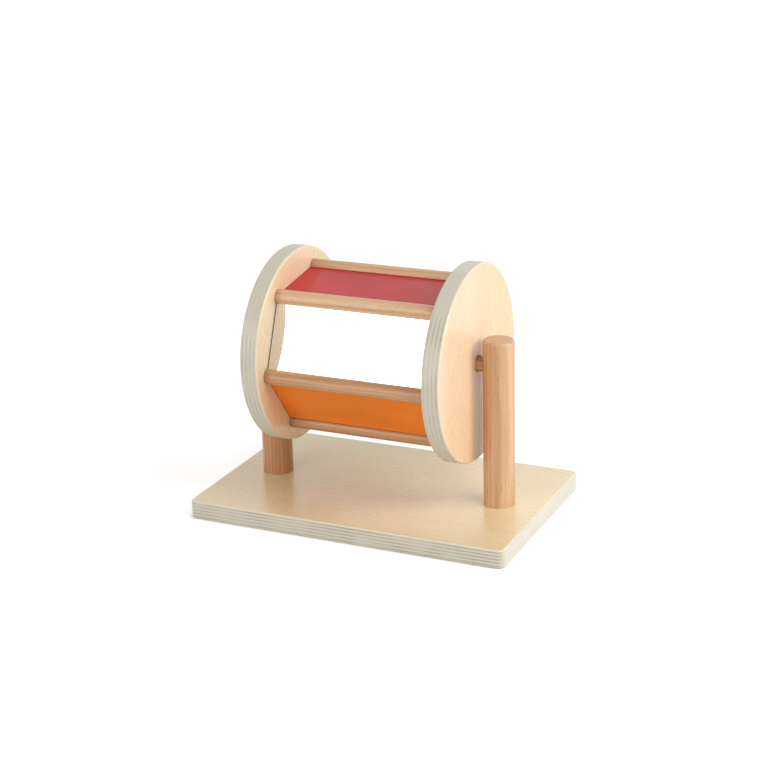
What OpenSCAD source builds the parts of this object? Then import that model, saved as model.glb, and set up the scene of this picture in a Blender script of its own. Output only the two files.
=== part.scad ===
// Spinning drum toy: a closed drum of two plywood discs, six dowel rungs and six panels
// that turns on a dowel axle between two posts on a plywood base board.
// Millimetres. The origin is the middle of the base board's underside.
// X runs along the axle, the front is -Y and Z is up.
// Angles round the drum are counted from +Y towards +Z.

/* [Base board] */
// Length of the base board along the axle
base_l = 270; // [252:1:330]
// Thickness of the base board
base_t = 15; // [12:0.5:24]
// How far the board runs past each post along the axle
base_end_overhang = 23.5; // [12:0.5:32]
// How far the board runs past the discs at the front and at the back
base_side_overhang = 7; // [2:0.5:30]
// Radius of the board's corners seen from above
base_corner_r = 5; // [3:0.5:12]
// Radius of the board's eased edges
base_edge_r = 1.5; // [0.5:0.25:2.5]

/* [Posts] */
// Diameter of the posts
post_d = 25; // [20:0.5:32]
// Height of each post above the axle's centre line
post_above_axle = 21.5; // [16:0.5:40]
// Radius of the rounded top edge of each post
post_edge_r = 2; // [0.5:0.25:4]
// Depth of the socket in the board that each post stands in
post_seat = 8; // [5:0.5:9]

/* [Axle] */
// Diameter of the axle dowel
axle_d = 12; // [10:0.5:16]
// How deep each end of the axle sits in its post
axle_seat = 15; // [8:0.5:17]
// Free height between the board and the rims of the discs
drum_clearance = 35.5; // [20:0.5:60]

/* [Discs] */
// Diameter of the two end discs
disc_d = 158; // [140:1:180]
// Thickness of each disc
disc_t = 15; // [12.5:0.5:20]
// Radius of the rounded rim edges
disc_edge_r = 2; // [0.5:0.25:4]
// Chamfer at the mouths of the axle hole
hole_chamfer = 0.6; // [0.3:0.1:1.5]

/* [Rungs] */
// Diameter of the rung dowels
rung_d = 12; // [10.5:0.5:15]
// Distance from the disc's rim to a rung's centre line
rung_inset = 16; // [12:0.5:24]
// How deep each end of a rung sits in its disc
rung_seat = 10; // [6:0.5:11]
// Angle of the first rung when the drum is at rest
rung_phase = 8; // [0:1:59]

/* [Panels] */
// Thickness of every panel, the mirror with its backing included
panel_t = 3; // [2:0.25:4]
// Depth of the grooves in the rungs that hold the panels
groove_depth = 3; // [2:0.25:4]
// Thickness of the mirror sheet on its backing board
mirror_t = 1; // [0.5:0.1:1.5]

/* [Bells] */
// Diameter of each bell over its seam
bell_d = 22; // [18:0.5:26]
// Wall thickness of the bells
bell_wall = 0.8; // [0.6:0.1:1.2]
// How far the rolled seam stands out round each bell
bell_seam = 0.5; // [0.3:0.1:0.8]
// Height of the rolled seam
bell_seam_h = 1.6; // [1:0.1:2.5]
// Width of the cross slots
bell_slot_w = 2; // [1.5:0.1:3]
// Diameter of the round hole at the end of each slot
bell_slot_hole_d = 3.6; // [3.2:0.1:4.5]
// How far the slots stop below the bell's middle
bell_slot_drop = 3; // [2.5:0.1:4.5]
// Outer diameter of the hanging loop
bell_loop_d = 7; // [5.5:0.5:9]
// Wire diameter of the hanging loop
bell_wire_d = 1.6; // [1.2:0.1:2]
// Free space between neighbouring bells
bell_side_gap = 18; // [12:0.5:20]
// Diameter of the pellet in each bell
pellet_d = 7; // [5:0.5:9]

/* [Screws] */
// Shank diameter of the post screws
screw_d = 4.5; // [3.5:0.25:6]
// Head diameter of the post screws
screw_head_d = 9; // [8:0.25:11]
// Straight rim of the screw heads
screw_rim = 0.4; // [0.2:0.1:0.8]
// How far the heads lie inside the board's underside
screw_recess = 0.5; // [0.2:0.1:1]
// How far each screw reaches into its post
screw_bite = 30; // [20:1:40]
// Length of the screw's tapered point
screw_point = 6; // [4:0.5:9]
// Width of the cross recess in the heads
screw_cross_w = 1.2; // [0.8:0.1:1.6]
// Length of the cross recess in the heads
screw_cross_l = 4.6; // [3:0.1:5.5]
// Depth of the cross recess in the heads
screw_cross_depth = 1.6; // [0.8:0.1:2]

/* [Fits] */
// Radial play between the axle and the disc holes
running_fit = 0.4; // [0.2:0.05:0.6]
// Room for glue round and behind each dowel, panel and screw in its seat
glue_fit = 0.1; // [0.05:0.05:0.25]
// Free space between the left disc and its post
left_play = 0.7; // [0.5:0.1:4]
// Free space between the right disc and its post
right_play = 4.3; // [0.5:0.1:8]
// Free space between a panel's ends and the discs
panel_end_gap = 0.2; // [0.1:0.05:0.5]
// Closest approach of a bell to a panel, and of a pellet to its bell
bell_gap = 0.3; // [0.2:0.05:0.5]

/* [Hidden] */
$fn = 64;
// Small overshoot that lets a cut pass cleanly through a face
cut = 1;
// Points on each quarter round of a turned or eased edge
arc_steps = 5;
// Facets of the rounded corners of the board
corner_facets = 32;
sides = 6;
side_angle = 360 / sides;
bells = 3;

post_r = post_d / 2;
post_x = base_l / 2 - base_end_overhang - post_r;
post_span = 2 * (post_x - post_r);
disc_gap = post_span - left_play - right_play - 2 * disc_t;
drum_x = (left_play - right_play) / 2;
axle_z = base_t + drum_clearance + disc_d / 2;
base_w = disc_d + 2 * base_side_overhang;
post_foot = base_t - post_seat;
post_h = axle_z + post_above_axle - post_foot;

rung_orbit = disc_d / 2 - rung_inset;
rung_l = disc_gap + 2 * (rung_seat - glue_fit);
groove_floor = rung_d / 2 - groove_depth;
panel_reach = rung_orbit * cos(side_angle / 2);
panel_w = 2 * (rung_orbit * sin(side_angle / 2) - groove_floor - glue_fit);
panel_l = disc_gap - 2 * panel_end_gap;

bell_r = bell_d / 2 - bell_seam;
bell_inner_r = bell_r - bell_wall;
bell_orbit = panel_reach - panel_t / 2 - bell_gap - bell_r;
bell_pitch = bell_d + bell_side_gap;
loop_r = (bell_loop_d - bell_wire_d) / 2;
loop_z = bell_r + bell_wire_d / 2 - bell_wall / 2 + loop_r;
pellet_drop = bell_inner_r - pellet_d / 2 - bell_gap;

screw_head_r = screw_head_d / 2;
screw_r = screw_d / 2;
screw_taper = screw_head_r - screw_r;
screw_l = post_foot - screw_recess + screw_bite;

plywood = "#F2D6AE";
beech = "#C99A6B";
brass = "#C9A24B";
steel = "#B4B6BA";

// Points of a quarter round with centre (x, y), from angle a to angle a + 90
function quarter(x, y, r, a) =
    [for (i = [0 : arc_steps]) [x + r * cos(a + 90 * i / arc_steps), y + r * sin(a + 90 * i / arc_steps)]];

// Lays a shape that is turned about Z along X instead, with its foot at the left
module along_x() {
    rotate([90, 0, 90]) children();
}

// Moves a shape that is made round the X axis to the drum's place
module in_drum() {
    translate([drum_x, 0, axle_z]) children();
}

// Round puck with eased edges, one corner of the board
module corner_puck() {
    inner = base_corner_r - base_edge_r;
    rotate_extrude($fn = corner_facets)
        polygon(concat(
            [[0, 0]],
            quarter(inner, base_edge_r, base_edge_r, 270),
            quarter(inner, base_t - base_edge_r, base_edge_r, 0),
            [[0, base_t]]
        ));
}

module eased_board() {
    hull()
        for (x = [-1, 1], y = [-1, 1])
            translate([x * (base_l / 2 - base_corner_r), y * (base_w / 2 - base_corner_r), 0])
                corner_puck();
}

// Hole for a countersunk screw, from the board's underside up into the post socket
module screw_hole() {
    translate([0, 0, -cut])
        cylinder(r = screw_head_r + glue_fit, h = cut + screw_recess + screw_rim);
    translate([0, 0, screw_recess + screw_rim])
        cylinder(r1 = screw_head_r + glue_fit, r2 = screw_r + glue_fit, h = screw_taper);
    cylinder(r = screw_r + glue_fit, h = post_foot + cut);
}

module base_board() {
    color(plywood)
        difference() {
            eased_board();
            for (side = [-1, 1])
                translate([side * post_x, 0, 0]) {
                    translate([0, 0, post_foot - glue_fit])
                        cylinder(r = post_r + glue_fit, h = post_seat + glue_fit + cut);
                    screw_hole();
                }
        }
}

// Post with a rounded top, a blind bore for the axle and a pilot bore for its screw
module post(side) {
    color(beech)
        translate([side * post_x, 0, post_foot])
            difference() {
                rotate_extrude()
                    polygon(concat(
                        [[0, 0], [post_r, 0]],
                        quarter(post_r - post_edge_r, post_h - post_edge_r, post_edge_r, 0),
                        [[0, post_h]]
                    ));
                translate([-side * (post_r + cut), 0, axle_z - post_foot])
                    rotate([0, side * 90, 0])
                        cylinder(r = axle_d / 2 + glue_fit, h = axle_seat + cut);
                translate([0, 0, -cut])
                    cylinder(r = screw_r + glue_fit, h = screw_bite + glue_fit + cut);
            }
}

module axle() {
    axle_l = post_span + 2 * (axle_seat - glue_fit);
    color(beech)
        translate([-axle_l / 2, 0, axle_z])
            along_x() cylinder(d = axle_d, h = axle_l);
}

// Countersunk wood screw with a cross recess and a tapered point
module post_screw(side) {
    color(steel)
        translate([side * post_x, 0, screw_recess])
            difference() {
                rotate_extrude()
                    polygon([
                        [0, 0],
                        [screw_head_r, 0],
                        [screw_head_r, screw_rim],
                        [screw_r, screw_rim + screw_taper],
                        [screw_r, screw_l - screw_point],
                        [0, screw_l]
                    ]);
                for (turn = [0, 90])
                    rotate([0, 0, turn])
                        translate([-screw_cross_l / 2, -screw_cross_w / 2, -cut])
                            cube([screw_cross_l, screw_cross_w, screw_cross_depth + cut]);
            }
}

// End disc with a rounded rim, a running hole and blind sockets in its inner face
module disc(side) {
    r = disc_d / 2;
    hole_r = axle_d / 2 + running_fit;
    color(plywood)
        in_drum()
            rotate([0, side * 90, 0])
                translate([0, 0, disc_gap / 2])
                    difference() {
                        rotate_extrude($fn = 128)
                            polygon(concat(
                                [[hole_r, hole_chamfer], [hole_r + hole_chamfer, 0]],
                                quarter(r - disc_edge_r, disc_edge_r, disc_edge_r, 270),
                                quarter(r - disc_edge_r, disc_t - disc_edge_r, disc_edge_r, 0),
                                [[hole_r + hole_chamfer, disc_t], [hole_r, disc_t - hole_chamfer]]
                            ));
                        for (i = [0 : sides - 1])
                            rotate([0, 0, 90 + side * (rung_phase + side_angle * i)])
                                translate([rung_orbit, 0, -cut])
                                    cylinder(r = rung_d / 2 + glue_fit, h = rung_seat + cut);
                    }
}

// Rung with a groove towards each of its two neighbours
module rung(i) {
    color(beech)
        in_drum()
            rotate([rung_phase + side_angle * i, 0, 0])
                translate([0, rung_orbit, 0])
                    difference() {
                        translate([-rung_l / 2, 0, 0]) along_x() cylinder(d = rung_d, h = rung_l);
                        for (turn = [-1, 1])
                            rotate([turn * (90 + side_angle / 2), 0, 0])
                                translate([-disc_gap / 2, groove_floor, -panel_t / 2 - glue_fit])
                                    cube([disc_gap, groove_depth + cut, panel_t + 2 * glue_fit]);
                    }
}

// Flat board between rung i and the next, from one depth to another below the outer face
module panel(i, from, to, tint) {
    color(tint)
        in_drum()
            rotate([rung_phase + side_angle * (i + 1 / 2), 0, 0])
                translate([-panel_l / 2, panel_reach + panel_t / 2 - to, -panel_w / 2])
                    cube([panel_l, to - from, panel_w]);
}

// Moves a bell or its pellet to its resting place at the bottom of the drum
module at_bell(i) {
    in_drum()
        translate([(i - (bells + 1) / 2) * bell_pitch, 0, -bell_orbit]) children();
}

// Jingle bell with a rolled seam, two crossing slots below and a wire loop on top
module bell_shell(i) {
    color(brass)
        at_bell(i) {
            difference() {
                union() {
                    sphere(r = bell_r);
                    translate([0, 0, -bell_seam_h / 2])
                        cylinder(d = bell_d, h = bell_seam_h);
                }
                sphere(r = bell_inner_r);
                for (turn = [0, 90])
                    rotate([0, 0, turn]) {
                        translate([-bell_d / 2, -bell_slot_w / 2, -bell_d / 2 - cut])
                            cube([bell_d, bell_slot_w, bell_d / 2 + cut - bell_slot_drop]);
                        translate([-bell_d / 2, 0, -bell_slot_drop])
                            along_x() cylinder(d = bell_slot_hole_d, h = bell_d);
                    }
            }
            translate([0, 0, loop_z])
                rotate([90, 0, 0])
                    rotate_extrude() translate([loop_r, 0]) circle(d = bell_wire_d);
        }
}

module bell_pellet(i) {
    color(steel)
        at_bell(i)
            translate([0, 0, -pellet_drop]) sphere(d = pellet_d);
}

base_board();
post(-1);  // left_post
post(1);  // right_post
axle();
post_screw(-1);  // left_post_screw
post_screw(1);  // right_post_screw
disc(-1);  // left_disc
disc(1);  // right_disc
for (i = [1 : sides])
    rung(i - 1);
panel(0, 0, panel_t, "#3F78B5");  // blue_panel
panel(1, 0, panel_t, "#B8454A");  // red_panel
panel(2, 0, mirror_t, "#E6EBEE");  // mirror_sheet
panel(2, mirror_t, panel_t, plywood);  // mirror_backing
panel(3, 0, panel_t, "#DF7B2C");  // orange_panel
panel(4, 0, panel_t, "#EBC13F");  // yellow_panel
panel(5, 0, panel_t, "#4F9A5B");  // green_panel
for (i = [1 : bells]) {
    bell_shell(i);
    bell_pellet(i);
}
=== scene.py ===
# %% [markdown]
# # A spinning drum toy
# A closed drum turns on a dowel between two posts that stand on a plywood board. The solids of the toy
# come packed from CAD, and they stay exactly where they are. This lesson gives every piece its finish,
# then sets up the floor, the light and the camera. We could model the pieces again in Blender, but
# dressing the CAD solids keeps one set of sizes for looks and motion.

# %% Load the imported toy
import math

import bpy
from mathutils import Matrix, Vector


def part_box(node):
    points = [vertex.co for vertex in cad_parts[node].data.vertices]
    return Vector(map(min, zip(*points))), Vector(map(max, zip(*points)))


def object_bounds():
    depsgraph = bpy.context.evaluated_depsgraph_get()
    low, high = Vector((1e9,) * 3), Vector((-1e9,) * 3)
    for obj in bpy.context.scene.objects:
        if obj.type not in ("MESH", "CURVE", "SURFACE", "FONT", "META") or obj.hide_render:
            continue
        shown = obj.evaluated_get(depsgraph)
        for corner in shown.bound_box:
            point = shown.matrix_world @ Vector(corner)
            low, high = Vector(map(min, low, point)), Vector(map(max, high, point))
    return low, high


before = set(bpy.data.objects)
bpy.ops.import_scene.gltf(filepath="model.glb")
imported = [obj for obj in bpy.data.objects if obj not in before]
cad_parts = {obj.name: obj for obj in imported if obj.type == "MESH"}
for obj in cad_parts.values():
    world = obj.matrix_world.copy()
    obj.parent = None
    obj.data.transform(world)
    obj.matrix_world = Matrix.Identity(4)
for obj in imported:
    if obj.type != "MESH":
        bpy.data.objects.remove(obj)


def in_mm(lengths):
    """Lengths in metres as rounded millimetres, for printing."""
    return [round(1000 * length, 1) for length in lengths]


cad_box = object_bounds()
print("CAD box in mm:", [in_mm(corner) for corner in cad_box])

# %% [markdown]
# ## Measures that the finishes need
# Plywood shows its layers on every cut edge, a dowel shows its growth rings on its end, and paint gathers
# in the corners of the drum. So the finishes have to know where a piece lies and how thick it is. We
# could type those sizes in a second time. Reading them from the pieces is safer, because the finishes
# then follow any change of the CAD model.

# %% Read places and sizes
def middle_of(piece):
    """The middle of a piece's box at rest."""
    lowest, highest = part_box(piece)
    return (lowest + highest) / 2


def size_of(piece):
    """The lengths of a piece's box along X, Y and Z."""
    lowest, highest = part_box(piece)
    return highest - lowest


print("Board in mm:", in_mm(size_of("base_board")), "Right disc in mm:", in_mm(size_of("right_disc")))

# %% [markdown]
# ## A short way to write shader nodes
# A finish is a small graph: textures make numbers, numbers pick colours, colours go into one shader. The
# graph can be clicked together in the Shader Editor, or written in code, where every node takes several
# lines. One helper that makes a node and fills its sockets keeps each finish short enough to read like
# a recipe.

# %% Make nodes and do sums with them
def add_node(tree, kind, inputs=None, **options):
    """Adds a node, sets its options, and fills its sockets with plain values or other nodes' outputs."""
    made = tree.nodes.new(kind)
    for option, value in options.items():
        setattr(made, option, value)
    for socket, value in (inputs or {}).items():
        if isinstance(value, bpy.types.NodeSocket):
            tree.links.new(value, made.inputs[socket])
        else:
            made.inputs[socket].default_value = value
    return made


def calc(tree, operation, first, second=0.0):
    """One step of arithmetic."""
    return add_node(tree, "ShaderNodeMath", {0: first, 1: second}, operation=operation).outputs[0]


def ease(tree, value, low, high, to_low=0.0, to_high=1.0):
    """Turns low to high into to_low to to_high along a soft S curve, and holds beyond the ends."""
    inputs = {"Value": value, "From Min": low, "From Max": high, "To Min": to_low, "To Max": to_high}
    return add_node(tree, "ShaderNodeMapRange", inputs, interpolation_type="SMOOTHSTEP").outputs[0]


def blend(tree, factor, first, second):
    """Mixes two colours."""
    return add_node(tree, "ShaderNodeMix", {0: factor, 6: first, 7: second}, data_type="RGBA").outputs[2]


def blend_numbers(tree, factor, first, second):
    """Mixes two numbers."""
    return add_node(tree, "ShaderNodeMix", {0: factor, 2: first, 3: second}, data_type="FLOAT").outputs[0]


def by_axis(tree, vector):
    """The parts of a vector along X, Y and Z."""
    return dict(zip("XYZ", add_node(tree, "ShaderNodeSeparateXYZ", {0: vector}).outputs))


helpers = (add_node, calc, ease, blend, blend_numbers, by_axis)
print("Node helpers:", [helper.__name__ for helper in helpers])

# %% [markdown]
# ## Colours and grain
# A colour is easiest to choose by its screen values of 0 to 255, but a shader takes linear light, so one
# helper turns the one into the other. Wood also needs noise that is long in one direction. A picture of
# wood could give that, but it would repeat, and bend at the corners. Stretched noise fills the whole
# solid, so the grain runs on from a face into an edge.

# %% Turn colours and stretch noise
def colour(red, green, blue):
    """Turns screen values of 0 to 255 into the linear colour that a shader takes."""
    parts = [value / 255 for value in (red, green, blue)]
    return [part / 12.92 if part <= 0.04045 else ((part + 0.055) / 1.055) ** 2.4 for part in parts] + [1.0]


def noise(tree, place, per_metre, detail=3.0, shift=(0.0, 0.0, 0.0)):
    """Cloudy numbers round 0.5, with a count of clouds per metre along X, Y and Z."""
    spread = add_node(tree, "ShaderNodeMapping", {"Vector": place, "Location": shift, "Scale": per_metre})
    inputs = {"Vector": spread.outputs[0], "Scale": 1.0, "Detail": detail}
    return add_node(tree, "ShaderNodeTexNoise", inputs).outputs[0]


def even(count):
    """The same count per metre in every direction."""
    return (count, count, count)


def streaked(grain, along, across):
    """Counts per metre for noise that is long in the direction of the grain."""
    return tuple(along if axis == grain else across for axis in "XYZ")


print("A mid grey of 128 on the screen is", round(colour(128, 128, 128)[0], 3), "in linear light")
print("Clouds per metre for veins along X:", streaked("X", 6, 110))

# %% [markdown]
# ## How a finish gets on a piece
# On the real toy a finish is brushed, rolled or polished on. In Blender it is a material with one shader,
# and each CAD piece has a slot for it. Pores and roller marks could be cut into the mesh, but that would
# change the solids, so a bump only tilts the light that falls on them.

# %% Start a finish, give it relief, put it on
def start_finish(name):
    """A new material with its node tree and its shader."""
    finish = bpy.data.materials.new(name)
    finish.use_nodes = True
    return finish, finish.node_tree, finish.node_tree.nodes["Principled BSDF"]


def bump(tree, shader, height, strength, depth):
    """Lets a height texture catch the light as fine relief, depth in metres."""
    inputs = {"Strength": strength, "Distance": depth, "Height": height}
    tree.links.new(add_node(tree, "ShaderNodeBump", inputs).outputs[0], shader.inputs["Normal"])


def wear(piece, finish):
    """Gives a piece its finish."""
    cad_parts[piece].material_slots[0].material = finish


print("Slots for a finish on the board:", len(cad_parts["base_board"].material_slots))

# %% [markdown]
# ## The cut edges of plywood
# The board and the discs are birch plywood, and every cut edge shows thin layers whose grain runs along
# and across by turns. A layer that is cut across its grain looks darker, so the dark and the light layers
# trade places round a disc. A picture of an edge could be wrapped round, but it would have to be bent for
# every shape. Here the wood is solid: each point asks how deep it lies and which way its surface faces,
# and gets the layer that a saw would have laid bare there. Glue lines, fibres and a few small gaps keep
# the layers from looking printed.

# %% Colour the layers of a cut edge
layer_along = colour(214, 207, 189)
layer_across = colour(178, 166, 146)
layer_glue = colour(160, 144, 122)
layer_gap = colour(84, 72, 58)
layer_sway = 0.4
face_layer_share = 0.6
least_contrast = 0.35
fibre_strength = 0.5
glue_at = 0.56
glue_strength = 0.22
gap_strength = 0.8


def edge_layers(tree, place, facing, depth, sheet):
    """The colour of a cut edge; depth counts the layers from the sheet's first face."""
    shift = sheet["shift"]
    contrast = sheet["contrast"]
    # A triangle wave along the depth, 0 in a layer like the face and 1 in a cross layer, a little wavy
    sway = calc(tree, "MULTIPLY", calc(tree, "SUBTRACT", noise(tree, place, even(30)), 0.5), layer_sway)
    wave = calc(tree, "PINGPONG", calc(tree, "ADD", calc(tree, "SUBTRACT", depth, 0.5), sway), 1.0)
    # Either kind of layer is dark where the saw went across its grain, in places more than in others
    face_layer = calc(tree, "POWER", calc(tree, "MULTIPLY", facing[sheet["grain"]], face_layer_share), 2.0)
    cross_layer = calc(tree, "POWER", facing[sheet["cross_grain"]], 2.0)
    cut_across = blend_numbers(tree, ease(tree, wave, 0.52, 0.78), face_layer, cross_layer)
    fading = noise(tree, place, even(45), detail=2.0, shift=shift)
    fading = ease(tree, fading, 0.30, 0.70, to_low=least_contrast * contrast, to_high=contrast)
    fibres = noise(tree, place, even(700), detail=2.0, shift=shift)
    fibres = calc(tree, "MULTIPLY", fibres, fibre_strength)
    darkness = calc(tree, "ADD", calc(tree, "MULTIPLY", cut_across, fading), fibres)
    edge = blend(tree, ease(tree, darkness, 0.25, 1.25), layer_along, layer_across)
    # Glue lies between two layers, and here and there a cross layer has a gap that looks like a dark dash
    from_glue = calc(tree, "ABSOLUTE", calc(tree, "SUBTRACT", wave, glue_at))
    glue = ease(tree, from_glue, 0.0, 0.16, to_low=glue_strength, to_high=0.0)
    edge = blend(tree, glue, edge, layer_glue)
    gaps = ease(tree, noise(tree, place, even(55), detail=1.0, shift=shift), 0.735, 0.75)
    gaps = calc(tree, "MULTIPLY", gaps, ease(tree, wave, 0.80, 0.90, to_high=gap_strength))
    return blend(tree, gaps, edge, layer_gap)


print("Edge layers sway by up to", layer_sway / 2, "of a layer to either side")

# %% [markdown]
# ## The veneer on the faces
# Each face is one pale sheet that was peeled off a birch log. It has broad warm clouds, soft veins and
# fine pores, all long in the direction of the grain. One noise can't hold marks as broad as a hand and as
# fine as a thread, so three are laid over each other, from the broadest to the finest.

# %% Colour the veneer of a face
board_veneer = (colour(238, 219, 178), colour(234, 211, 167))
left_disc_veneer = (colour(240, 216, 180), colour(236, 209, 166))
right_disc_veneer = (colour(236, 206, 172), colour(232, 199, 158))
veneer_vein = colour(206, 166, 120)
vein_strength = 0.11
pore_strength = 0.04


def veneer_face(tree, place, sheet):
    """The colour of a face, with the veins and the pores that its relief needs too."""
    grain = sheet["grain"]
    shift = sheet["shift"]
    clouds = noise(tree, place, streaked(grain, 4, 16), detail=2.0, shift=shift)
    veins = noise(tree, place, streaked(grain, 6, 110), detail=5.0, shift=shift)
    pores = noise(tree, place, streaked(grain, 140, 1500), detail=2.0, shift=shift)
    face = blend(tree, ease(tree, clouds, 0.35, 0.65), *sheet["veneer"])
    face = blend(tree, ease(tree, veins, 0.50, 0.80, to_high=vein_strength), face, veneer_vein)
    face = blend(tree, ease(tree, pores, 0.50, 0.80, to_high=pore_strength), face, veneer_vein)
    return face, veins, pores


print("Veins cover up to", vein_strength, "of the veneer's own tone, pores up to", pore_strength)

# %% [markdown]
# ## Lacquer over plywood
# Where a face meets an edge, the corner is rounded with sandpaper, and a painted highlight makes the wood
# palest along that rounding. Clear lacquer goes over all of it, smooth on the faces and rougher on the
# edges, which soak it up. A second shader could stand for the lacquer, but the one shader has a coat for
# just that.

# %% Put edge, face and lacquer together
painted_edge_highlight = colour(250, 238, 216)
edge_highlight_strength = 2.4
face_roughness = 0.26
edge_roughness = 0.37
pore_roughness = 0.03
plywood_gloss = 0.42
plywood_coat_roughness = 0.21


def birch_plywood(piece, sheet):
    """Lacquered plywood for a piece whose layers are stacked along one axis."""
    finish, tree, shader = start_finish(sheet["name"])
    source = add_node(tree, "ShaderNodeTexCoord").outputs
    place = source["Object"]
    facing = by_axis(tree, source["Normal"])
    stack = sheet["stack"]
    axis_number = "XYZ".index(stack)
    above = calc(tree, "SUBTRACT", by_axis(tree, place)[stack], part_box(piece)[0][axis_number])
    depth = calc(tree, "MULTIPLY", above, sheet["layers"] / size_of(piece)[axis_number])
    # A surface that faces along the stack is a face, and one that turns away from it is an edge
    on_edge = ease(tree, calc(tree, "POWER", facing[stack], 2.0), 0.85, 0.25)
    face, veins, pores = veneer_face(tree, place, sheet)
    wood = blend(tree, on_edge, face, edge_layers(tree, place, facing, depth, sheet))
    # Painted highlight: a pale band along the rounding, where light catches the eased corner
    highlight_band = calc(tree, "MULTIPLY", on_edge, calc(tree, "SUBTRACT", 1.0, on_edge))
    wood = blend(tree, calc(tree, "MULTIPLY", highlight_band, edge_highlight_strength), wood, painted_edge_highlight)
    tree.links.new(wood, shader.inputs["Base Color"])
    lacquer = ease(tree, on_edge, 0.0, 1.0, to_low=face_roughness, to_high=edge_roughness)
    lacquer = calc(tree, "ADD", calc(tree, "MULTIPLY", pores, pore_roughness), lacquer)
    tree.links.new(lacquer, shader.inputs["Roughness"])
    shader.inputs["Specular IOR Level"].default_value = plywood_gloss
    shader.inputs["Coat Weight"].default_value = sheet["coat"]
    shader.inputs["Coat Roughness"].default_value = plywood_coat_roughness
    relief = calc(tree, "ADD", veins, calc(tree, "MULTIPLY", pores, 0.1))
    bump(tree, shader, relief, strength=0.035, depth=0.0004)
    return finish


print("Lacquer roughness", face_roughness, "on the faces and", edge_roughness, "on the edges")

# %% [markdown]
# ## Dressing the board and the discs
# Four pieces are plywood: the board, both discs and the thin backing of the mirror. They could share one
# finish, but each was cut from its own sheet. The table says how the layers of each are stacked, which way
# its grain runs, and how much its layers stand out. The coat is thick on the board, which mirrors the
# posts a little, thin on the discs, and absent on the backing.

# %% Dress the plywood pieces
sheets = {
    "base_board": {"name": "birch_board", "stack": "Z", "grain": "X", "cross_grain": "Y", "layers": 11,
                   "veneer": board_veneer, "coat": 0.55, "contrast": 1.0, "shift": (0.3, 0.1, 0.0)},
    "left_disc": {"name": "birch_left_disc", "stack": "X", "grain": "Z", "cross_grain": "Y", "layers": 9,
                  "veneer": left_disc_veneer, "coat": 0.04, "contrast": 0.62, "shift": (1.7, 4.1, 2.3)},
    "right_disc": {"name": "birch_right_disc", "stack": "X", "grain": "Z", "cross_grain": "Y", "layers": 9,
                   "veneer": right_disc_veneer, "coat": 0.04, "contrast": 0.88, "shift": (5.2, 0.6, 8.4)},
    "mirror_backing": {"name": "birch_backing", "stack": "Z", "grain": "X", "cross_grain": "Y", "layers": 3,
                       "veneer": right_disc_veneer, "coat": 0.0, "contrast": 1.0, "shift": (6.0, 2.0, 1.0)},
}
for piece, sheet in sheets.items():
    wear(piece, birch_plywood(piece, sheet))
    print("Plywood on", piece, "with", sheet["layers"], "layers")

# %% [markdown]
# ## Growth rings in a dowel
# Posts, rungs and axle are turned from beech. A wood picture that is wrapped round a dowel would show no
# rings on its sawn end. A solid finish does: each point measures its distance to the heart of the tree,
# which lies outside the dowel, as it does in a dowel that was cut from a plank.

# %% Draw the rings
ring_spacing = 0.0032
ring_wander = 0.006


def growth_rings(tree, place, piece, grain, heart, shift):
    """Rings round the heart of the tree, which lies beside the dowel's middle; they wander along it."""
    point = by_axis(tree, place)
    across = [axis for axis in "XYZ" if axis != grain]
    squares = []
    for axis, beside in zip(across, heart):
        side = calc(tree, "SUBTRACT", point[axis], middle_of(piece)["XYZ".index(axis)] + beside)
        squares.append(calc(tree, "MULTIPLY", side, side))
    from_heart = calc(tree, "SQRT", calc(tree, "ADD", *squares))
    wander = noise(tree, place, streaked(grain, 7, 45), detail=3.0, shift=shift)
    wander = calc(tree, "MULTIPLY", wander, ring_wander)
    turns = calc(tree, "MULTIPLY", calc(tree, "ADD", from_heart, wander), 2 * math.pi / ring_spacing)
    return ease(tree, calc(tree, "SINE", turns), -1.0, 1.0)


print("Growth rings every", in_mm([ring_spacing])[0], "mm")

# %% [markdown]
# ## Where shade gathers
# Shade gathers where a rung or a panel meets a disc, and the finishes paint it there as a darker tone.
# Blender can look for such corners while it renders, but what it finds changes with whatever comes near.
# Measuring how far a point lies from the nearer disc gives a painted shade that belongs to the drum and
# turns with it.

# %% Measure to the nearer disc
disc_faces = (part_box("left_disc")[1].x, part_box("right_disc")[0].x)


def to_disc(tree, place):
    """How far a point of the drum lies from the nearer disc's inner face, and below 0 inside a disc."""
    along = by_axis(tree, place)["X"]
    from_left = calc(tree, "SUBTRACT", along, disc_faces[0])
    from_right = calc(tree, "SUBTRACT", disc_faces[1], along)
    return calc(tree, "MINIMUM", from_left, from_right)


print("Between the discs in mm:", in_mm([disc_faces[1] - disc_faces[0]])[0])

# %% [markdown]
# ## Beech
# Beech is a pinkish tan with long streaks and short dark flecks along the grain. Sawn ends drink more
# lacquer and look darker, and a rung gets a painted shade where it meets a disc. A brown that is even all
# over would look like plastic. Rings, streaks and flecks each darken the wood by a share, and the same
# streaks make it a little rougher and give it its relief.

# %% Make the beech finish
beech_light = colour(233, 197, 156)
beech_deep = colour(186, 130, 82)
beech_fleck = colour(146, 92, 56)
ring_strength = 0.22
fleck_strength = 0.24
end_darkness = 0.22
end_figure = 0.45
disc_shade_start, disc_shade_end = -0.004, 0.008
disc_shade_strength = 0.5
beech_coat = 0.25
beech_coat_roughness = 0.34


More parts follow.
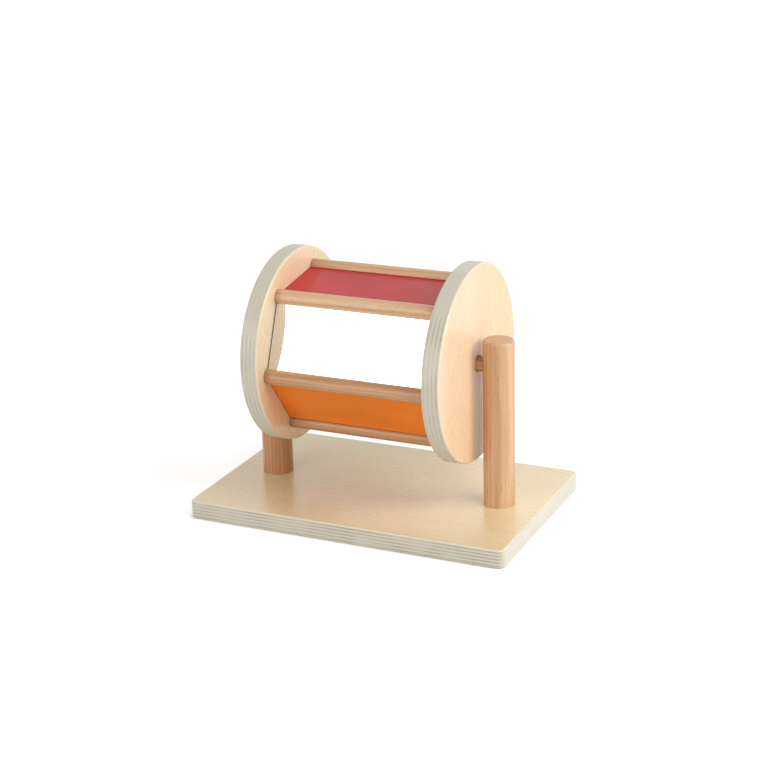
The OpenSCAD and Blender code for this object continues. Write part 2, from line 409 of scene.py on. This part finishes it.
def beech_dowel(piece, grain, tone_and_shade_depth, heart, shift):
    """Beech for one dowel, darkened by a share that is partly the wood's own tone and partly painted shade.
    """
    finish, tree, shader = start_finish("beech_" + piece)
    source = add_node(tree, "ShaderNodeTexCoord").outputs
    place = source["Object"]
    rings = growth_rings(tree, place, piece, grain, heart, shift)
    streaks = noise(tree, place, streaked(grain, 9, 260), detail=4.0, shift=shift)
    flecks = noise(tree, place, streaked(grain, 130, 1100), detail=1.0, shift=shift)
    flecks = ease(tree, flecks, 0.60, 0.70)
    # Rings and streaks make the figure of the wood, which is weaker on a sawn end
    figure = ease(tree, streaks, 0.30, 0.72, to_low=0.07, to_high=0.36)
    figure = calc(tree, "ADD", calc(tree, "MULTIPLY", rings, ring_strength), figure)
    sawn_end = calc(tree, "ABSOLUTE", by_axis(tree, source["Normal"])[grain])
    sawn_end = ease(tree, sawn_end, 0.75, 0.98)
    figure = calc(tree, "MULTIPLY", figure, ease(tree, sawn_end, 0.0, 1.0, to_low=1.0, to_high=end_figure))
    # The share is partly the wood's own tone and partly painted shade on dowels that stand in shade
    wood = blend(tree, calc(tree, "ADD", figure, tone_and_shade_depth), beech_light, beech_deep)
    wood = blend(tree, calc(tree, "MULTIPLY", flecks, fleck_strength), wood, beech_fleck)
    wood = blend(tree, calc(tree, "MULTIPLY", sawn_end, end_darkness), wood, beech_fleck)
    # Painted shade: a rung darkens close to a disc, where shade falls in the corner
    if piece.startswith("rung"):
        painted_disc_shade = ease(tree, to_disc(tree, place), disc_shade_start, disc_shade_end, to_low=disc_shade_strength, to_high=0.0)
        wood = blend(tree, painted_disc_shade, wood, beech_fleck)
    tree.links.new(wood, shader.inputs["Base Color"])
    roughness = ease(tree, streaks, 0.2, 0.8, to_low=0.36, to_high=0.48)
    tree.links.new(roughness, shader.inputs["Roughness"])
    shader.inputs["Coat Weight"].default_value = beech_coat
    shader.inputs["Coat Roughness"].default_value = beech_coat_roughness
    relief = calc(tree, "SUBTRACT", streaks, calc(tree, "MULTIPLY", flecks, 0.4))
    bump(tree, shader, relief, strength=0.18, depth=0.0003)
    return finish


# The print gives how far the painted shade reaches along a rung from a disc
print("Lacquer darkens a rung up to", in_mm([disc_shade_end])[0], "mm from a disc")

# %% [markdown]
# ## Dressing the dowels
# Dowels rarely come from the same plank, and the left post and the two lower rungs in front are the
# browner ones, while the upper rung in front is the palest. Part of that depth of tone is painted shade,
# since the left post and the lower rungs stand in shade. One finish for all would be less work, but it
# would give all nine the same depth of tone. So each dowel gets its own, with its own place in the wood,
# and the heart of the tree is turned on from dowel to dowel.

# %% Dress posts, axle and rungs
dowels = {
    "left_post": ("Z", 0.60), "right_post": ("Z", 0.20), "axle": ("X", 0.38),
    "rung_1": ("X", 0.25), "rung_2": ("X", 0.20), "rung_3": ("X", 0.08),
    "rung_4": ("X", 0.50), "rung_5": ("X", 0.64), "rung_6": ("X", 0.30),
}
heart_distance = 0.035
heart_turn = 2.4
for number, (piece, (grain, tone_and_shade_depth)) in enumerate(dowels.items()):
    turn = heart_turn * number
    heart = (heart_distance * math.cos(turn), heart_distance * math.sin(turn))
    shift = (1.3 * number, 0.7 * number, 2.1 * number)
    wear(piece, beech_dowel(piece, grain, tone_and_shade_depth, heart, shift))
print("Beech on", ", ".join(dowels))

# %% [markdown]
# ## The corners of a panel
# Each panel sits in the grooves of two rungs, between the discs. Shade falls in all four corners, so the
# paint gets thin dark lines there as painted shade. The lines could be painted on a picture of each panel,
# but the two nearest rungs and the discs already say where they run.

# %% Measure to the nearest corner
rung_count = 6
rung_radius = size_of("rung_1").y / 2


def to_corner(tree, place, panel):
    """How far a point of a panel lies from the nearest disc or rung."""
    point = by_axis(tree, place)
    nearest = to_disc(tree, place)
    rungs = [middle_of(f"rung_{number}") for number in range(1, rung_count + 1)]
    rungs.sort(key=lambda rung: (rung - middle_of(panel)).yz.length)
    for rung in rungs[:2]:
        beside = calc(tree, "SUBTRACT", point["Y"], rung.y)
        above = calc(tree, "SUBTRACT", point["Z"], rung.z)
        squares = [calc(tree, "MULTIPLY", side, side) for side in (beside, above)]
        to_rung = calc(tree, "SUBTRACT", calc(tree, "SQRT", calc(tree, "ADD", *squares)), rung_radius)
        nearest = calc(tree, "MINIMUM", nearest, to_rung)
    return nearest


print("Rung radius in mm:", in_mm([rung_radius])[0])

# %% [markdown]
# ## Painted panels
# Five sides of the drum are thin boards with a smooth, semi-gloss paint for children's toys. Paint on
# wood is never quite even: a roller leaves a fine peel, and the tone drifts a little. A flat colour would
# look like plastic, so a faint drift goes into the colour and a fine peel into the relief, while the
# gloss comes from the shader.

# %% Mix the paints
paints = {
    "red_panel": (206, 43, 46),
    "orange_panel": (250, 134, 42),
    "yellow_panel": (236, 190, 56),
    "green_panel": (72, 146, 84),
    "blue_panel": (60, 116, 176),
}
drifted_light = 0.86
corner_shade_light = 0.40
corner_start, corner_end = 0.0002, 0.0015
corner_shade_strength = 0.9
paint_gloss = 0.24


def darker(tint, light):
    """A tint with only a share of its light."""
    return [light * part for part in tint[:3]] + [1.0]


def panel_paint(panel, tint, shift):
    """Semi-gloss paint in one tint for one panel."""
    finish, tree, shader = start_finish(panel.replace("panel", "paint"))
    place = add_node(tree, "ShaderNodeTexCoord").outputs["Object"]
    drift = noise(tree, place, streaked("X", 14, 40), detail=3.0, shift=shift)
    peel = noise(tree, place, even(420), detail=2.0, shift=shift)
    paint = blend(tree, ease(tree, drift, 0.3, 0.7), tint, darker(tint, drifted_light))
    # Painted shade: thin dark lines where the panel meets the discs and its two rungs
    from_corner = to_corner(tree, place, panel)
    painted_corner_shade = ease(tree, from_corner, corner_start, corner_end, to_low=corner_shade_strength, to_high=0.0)
    paint = blend(tree, painted_corner_shade, paint, darker(tint, corner_shade_light))
    tree.links.new(paint, shader.inputs["Base Color"])
    roughness = ease(tree, drift, 0.2, 0.8, to_low=0.16, to_high=0.24)
    tree.links.new(roughness, shader.inputs["Roughness"])
    shader.inputs["Specular IOR Level"].default_value = paint_gloss
    bump(tree, shader, peel, strength=0.05, depth=0.0003)
    return finish


for number, (panel, screen_tint) in enumerate(paints.items()):
    wear(panel, panel_paint(panel, colour(*screen_tint), (0.9 * number, 3.1, 0.4)))
print("Paint on", ", ".join(paints))

# %% [markdown]
# ## Mirror
# The sixth side is a thin unbreakable mirror on a board. It could be made of clear sheet with silver
# behind it, but a shader that is fully metallic and very smooth is a mirror already. Real sheet is never
# perfectly flat, so a long, faint ripple bends its reflections. Its silver stops just short of the ends,
# where a dark back coat shows as a fine line, which also stands as painted shade for the gap at each disc.

# %% Silver the mirror
silver = colour(230, 231, 232)
back_coat_and_gap_shade = colour(92, 88, 84)
bare_margin = 0.0006
mirror_finish, tree, shader = start_finish("mirror_silver")
place = add_node(tree, "ShaderNodeTexCoord").outputs["Object"]
along_mirror = by_axis(tree, place)["X"]
from_middle = calc(tree, "ABSOLUTE", calc(tree, "SUBTRACT", along_mirror, middle_of("mirror_sheet").x))
silver_end = size_of("mirror_sheet").x / 2 - bare_margin
# Back coat and painted shade: a dark band at each end, where the mirror meets a disc
bare_end_and_gap_shade = calc(tree, "GREATER_THAN", from_middle, silver_end)
tree.links.new(blend(tree, bare_end_and_gap_shade, silver, back_coat_and_gap_shade), shader.inputs["Base Color"])
shader.inputs["Metallic"].default_value = 1.0
haze = noise(tree, place, even(60), detail=3.0)
haze = ease(tree, haze, 0.3, 0.8, to_low=0.010, to_high=0.030)
tree.links.new(haze, shader.inputs["Roughness"])
ripple = noise(tree, place, even(18), detail=1.0)
bump(tree, shader, ripple, strength=0.05, depth=0.001)
wear("mirror_sheet", mirror_finish)
print("Mirror silvered over", in_mm([2 * silver_end])[0], "mm of its length")

# %% [markdown]
# ## Bells, pellets and screws
# Three small brass bells lie in the drum, each with a steel pellet, and two steel screws hold the posts
# from below. Few people ever see them, but the toy may be opened or lifted. A plain metal shader would
# look brand new, so they get metal that has been handled: brass with brown tarnish in soft patches, and
# steel with fine lines from its making.

# %% Make the metals
def worked_metal(name, bright, dull, smooth, rough, line_count):
    """Metal that is dulled in patches and carries fine lines."""
    finish, tree, shader = start_finish(name)
    place = add_node(tree, "ShaderNodeTexCoord").outputs["Object"]
    patches = noise(tree, place, even(160), detail=4.0)
    lines = noise(tree, place, (90, 90, line_count), detail=2.0)
    metal = blend(tree, ease(tree, patches, 0.42, 0.70), bright, dull)
    tree.links.new(metal, shader.inputs["Base Color"])
    roughness = ease(tree, patches, 0.30, 0.75, to_low=smooth, to_high=rough)
    tree.links.new(roughness, shader.inputs["Roughness"])
    shader.inputs["Metallic"].default_value = 1.0
    bump(tree, shader, lines, strength=0.08, depth=0.0002)
    return finish


brass_finish = worked_metal("bell_brass", bright=colour(222, 184, 98), dull=colour(164, 118, 58),
                            smooth=0.18, rough=0.42, line_count=900)
steel_finish = worked_metal("screw_steel", bright=colour(196, 197, 200), dull=colour(150, 150, 152),
                            smooth=0.22, rough=0.40, line_count=2400)
for number in (1, 2, 3):
    wear(f"bell_{number}_shell", brass_finish)
    wear(f"bell_{number}_pellet", steel_finish)
for side in ("left", "right"):
    wear(side + "_post_screw", steel_finish)
print("Brass on 3 bells, steel on 3 pellets and 2 screws")

# %% [markdown]
# ## Floor
# Product pictures like this one are taken on a white sheet that sweeps up behind the toy. The curve of
# such a sheet could be modelled, but a flat one that reaches far enough looks the same from above. It
# lies a hair below the board, so that the two surfaces never share a plane.

# %% Lay the floor
floor_half = 12.0
floor_drop = 0.0002
corners = [(-floor_half, -floor_half, 0), (floor_half, -floor_half, 0),
           (floor_half, floor_half, 0), (-floor_half, floor_half, 0)]
floor_mesh = bpy.data.meshes.new("studio_floor")
floor_mesh.from_pydata(corners, [], [(0, 1, 2, 3)])
floor = bpy.data.objects.new("studio_floor", floor_mesh)
floor.location.z = cad_box[0].z - floor_drop
bpy.context.scene.collection.objects.link(floor)
print("Floor", 2 * floor_half, "m wide")

# %% [markdown]
# ## White floor paint
# Flooding the toy with light until the floor is white would bleach the wood. So the floor is pale matt
# paint that takes light and shadow, and it glows as well, but only for rays that see it: those of the
# camera and of reflections. The glow grows with distance, so the far floor is lost in the white. Close
# under the board the glow is held back, which paints a contact shadow there. The renderer
# is told not to treat the glow as a lamp, since it lights nothing.

# %% Paint the floor
def seen_directly(tree):
    """1 for rays from the camera, from a mirror or through glass, and 0 for rays that only carry light."""
    path = add_node(tree, "ShaderNodeLightPath").outputs
    seen = calc(tree, "MAXIMUM", path["Is Camera Ray"], path["Is Glossy Ray"])
    return calc(tree, "MAXIMUM", seen, path["Is Transmission Ray"])


floor_tone = (0.85, 0.85, 0.85, 1.0)
white = (1.0, 1.0, 1.0, 1.0)
near_edge, far_edge = 0.4, 1.8
glow_near, glow_far = 0.54, 0.72
contact_shadow_reach = 0.008
floor_finish, tree, shader = start_finish("floor_white")
shader.inputs["Base Color"].default_value = floor_tone
shader.inputs["Roughness"].default_value = 1.0
shader.inputs["Specular IOR Level"].default_value = 0.0
shader.inputs["Emission Color"].default_value = white
place = add_node(tree, "ShaderNodeTexCoord").outputs["Object"]
from_middle = add_node(tree, "ShaderNodeVectorMath", {0: place}, operation="LENGTH").outputs["Value"]
glow = ease(tree, from_middle, near_edge, far_edge, to_low=glow_near, to_high=glow_far)
# Painted contact shadow: the glow fades where the board stands close by
painted_contact_shadow = add_node(tree, "ShaderNodeAmbientOcclusion", {"Distance": contact_shadow_reach}).outputs["AO"]
glow = calc(tree, "MULTIPLY", glow, painted_contact_shadow)
tree.links.new(calc(tree, "MULTIPLY", seen_directly(tree), glow), shader.inputs["Emission Strength"])
floor_finish.cycles.emission_sampling = "NONE"
floor_mesh.materials.append(floor_finish)
print("Floor glow", glow_near, "near the toy and", glow_far, "far from it")

# %% [markdown]
# ## Surroundings
# Round the toy there is nothing but white, and the lacquer and the mirror reflect it. A white that also
# lit the toy from all sides would take its shadows away, so the rays that carry light get a softer grey.
# A picture of a studio could do both at once, but then the level of light couldn't be set by itself.

# %% Set the sky
ambient_strength = 0.42
ambient = (ambient_strength, ambient_strength, ambient_strength, 1.0)
sky = bpy.data.worlds.new("white_studio")
sky.use_nodes = True
bpy.context.scene.world = sky
tree = sky.node_tree
surround = tree.nodes["Background"]
tree.links.new(blend(tree, seen_directly(tree), ambient, white), surround.inputs["Color"])
print("Ambient light", ambient_strength)

# %% [markdown]
# ## Soft studio lamps
# The picture's bright side is the right one: the outer face of the right disc and the end of the board
# are the palest surfaces, and the right post drops a soft shadow on the disc beside it. A key lamp low on
# the right gives both, and a fill lamp above it lights the tops. A wide lamp low in front keeps the front
# readable, and a weak one behind lays a sheen on the lacquer. A sun lamp would give hard shadows, so all
# four are square lamps of some width.

# %% Hang the lamps
toy_middle = (cad_box[0] + cad_box[1]) / 2


def way_from_toy(azimuth, elevation):
    """A direction by degrees: azimuth 0 is to the front and 90 to the right, elevation 90 straight up."""
    turn = math.radians(azimuth)
    rise = math.radians(elevation)
    return Vector((math.sin(turn) * math.cos(rise), -math.cos(turn) * math.cos(rise), math.sin(rise)))


def soft_lamp(name, azimuth, elevation, distance, width, level):
    """A square lamp that faces the toy; level is how bright a white card there would look by it alone."""
    data = bpy.data.lights.new(name, "AREA")
    data.shape = "SQUARE"
    data.size = width
    data.energy = level * math.pi ** 2 * distance ** 2
    lamp = bpy.data.objects.new(name, data)
    lamp.location = toy_middle + distance * way_from_toy(azimuth, elevation)
    lamp.rotation_euler = (lamp.location - toy_middle).to_track_quat("Z", "Y").to_euler()
    bpy.context.scene.collection.objects.link(lamp)


soft_lamp("key_lamp_right", azimuth=100, elevation=19, distance=1.5, width=0.66, level=0.42)
soft_lamp("fill_lamp_front", azimuth=-20, elevation=10, distance=3.0, width=2.0, level=0.36)
soft_lamp("fill_lamp_right", azimuth=72, elevation=44, distance=1.4, width=0.66, level=0.315)
soft_lamp("fill_lamp_back", azimuth=184, elevation=30, distance=3.0, width=2.0, level=0.05)
print("Lamps:", [lamp.name for lamp in bpy.data.lights])

# %% [markdown]
# ## Camera
# The picture looks down on the toy from its right front, through a long lens that hardly narrows the far
# end. A camera can be set by eye, but these angles were found by fitting the toy's own corners and rims
# to where they lie in the picture, which is closer. The slight roll stands for a tripod that wasn't quite
# level.

# %% Set the camera
camera_data = bpy.data.cameras.new("picture_camera")
camera_data.sensor_width = 36.0
camera_data.lens = 83.77
camera_data.clip_end = 60.0
aim = Vector((0.000606, 0.0, 0.102672))
camera_distance = 1.428376
roll = math.radians(-1.573)
back = way_from_toy(azimuth=25.223, elevation=19.243)
level_right = Vector((0, 0, 1)).cross(back).normalized()
level_up = back.cross(level_right)
right = math.cos(roll) * level_right + math.sin(roll) * level_up
up = -math.sin(roll) * level_right + math.cos(roll) * level_up
turned = Matrix((right, up, back)).transposed().to_4x4()
camera = bpy.data.objects.new("picture_camera", camera_data)
camera.matrix_world = Matrix.Translation(aim + camera_distance * back) @ turned
bpy.context.scene.collection.objects.link(camera)
bpy.context.scene.camera = camera
bpy.context.scene.view_settings.view_transform = "Standard"
print("Camera at", [round(v, 3) for v in camera.location], "with a lens of", camera_data.lens, "mm")
